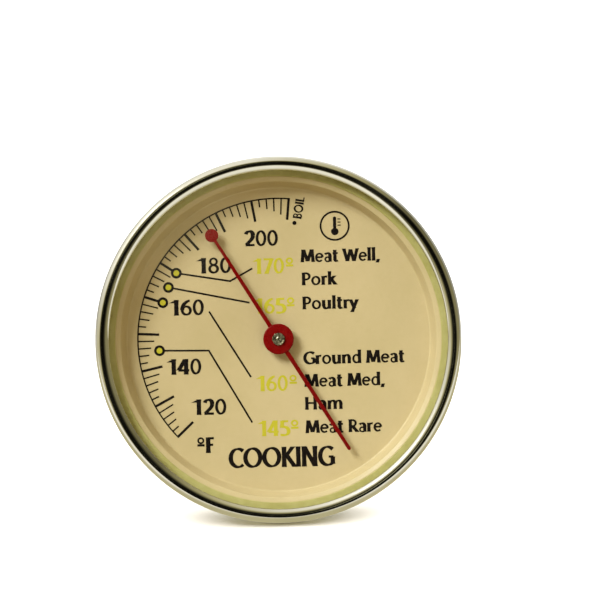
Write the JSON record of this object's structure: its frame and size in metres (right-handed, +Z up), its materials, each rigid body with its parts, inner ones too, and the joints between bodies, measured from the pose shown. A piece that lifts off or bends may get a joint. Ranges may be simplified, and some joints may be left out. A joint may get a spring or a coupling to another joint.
{
  "type": "dial meat thermometer",
  "caption": "Bimetal meat thermometer: round glazed dial with a red pointer on a pointed steel probe, adjusted by a hexagon nut behind the head.",
  "frame": {"origin": "middle of the footprint on the surface that the rim of the head and the tip of the probe rest on", "axes": "+Z up, +Y towards the tip of the probe, -Y towards the reader of the dial, +X to the reader's right"},
  "size_m": [0.07, 0.1304, 0.068],
  "materials": {
    "case_steel": "spun stainless steel",
    "bezel_steel": "polished stainless steel",
    "probe_steel": "drawn stainless steel, polished",
    "nut_steel": "machined, nickel plated",
    "turned_steel": "turned",
    "spring_steel": "rolled spring steel",
    "bush_metal": "turned, riveted end",
    "movement_brass": "turned brass",
    "bimetal": "rolled two-metal strip",
    "dial_enamel": "cream enamel, semi-matt",
    "dial_print_black": "printed ink",
    "dial_print_yellow": "printed ink",
    "pointer_red": "red lacquer",
    "seal": "translucent yellow-green",
    "neck_rubber": "black",
    "lens_glass": "clear, polished"
  },
  "bodies": {
    "head": {"case_cup": "case_steel", "case_neck": "turned_steel", "dial_plate": "dial_enamel", "lens_seal": "seal", "lens": "lens_glass", "bezel_ring": "bezel_steel"},
    "probe": {"probe_tube": "probe_steel", "probe_tip": "probe_steel", "ferrule": "turned_steel", "neck_seal": "neck_rubber", "calibration_nut": "nut_steel", "spring_washer": "spring_steel", "thrust_washer": "movement_brass", "retaining_clip": "spring_steel", "upper_bearing": "movement_brass", "lower_bearing": "movement_brass", "coil_anchor": "movement_brass", "bimetal_coil": "bimetal"},
    "pointer": {"pointer_shaft": "turned_steel", "coil_collar": "movement_brass", "shaft_collar": "movement_brass", "pointer_bush": "bush_metal", "pointer": "pointer_red"}
  },
  "joints": [
    {"name": "calibration_turn", "type": "hinge", "parent": "head", "child": "probe", "pos_m": [0, -0.04476, 0.03145], "axis": [0, -0.9621, 0.2726], "range_deg": [-20, 20]},
    {"name": "pointer_turn", "type": "hinge", "parent": "probe", "child": "pointer", "pos_m": [0, -0.04476, 0.03145], "axis": [0, 0.9621, -0.2726], "range_deg": [-57, 233], "stiffness_Nm_per_rad": 0.0002, "deforming": ["bimetal_coil"]}
  ]
}
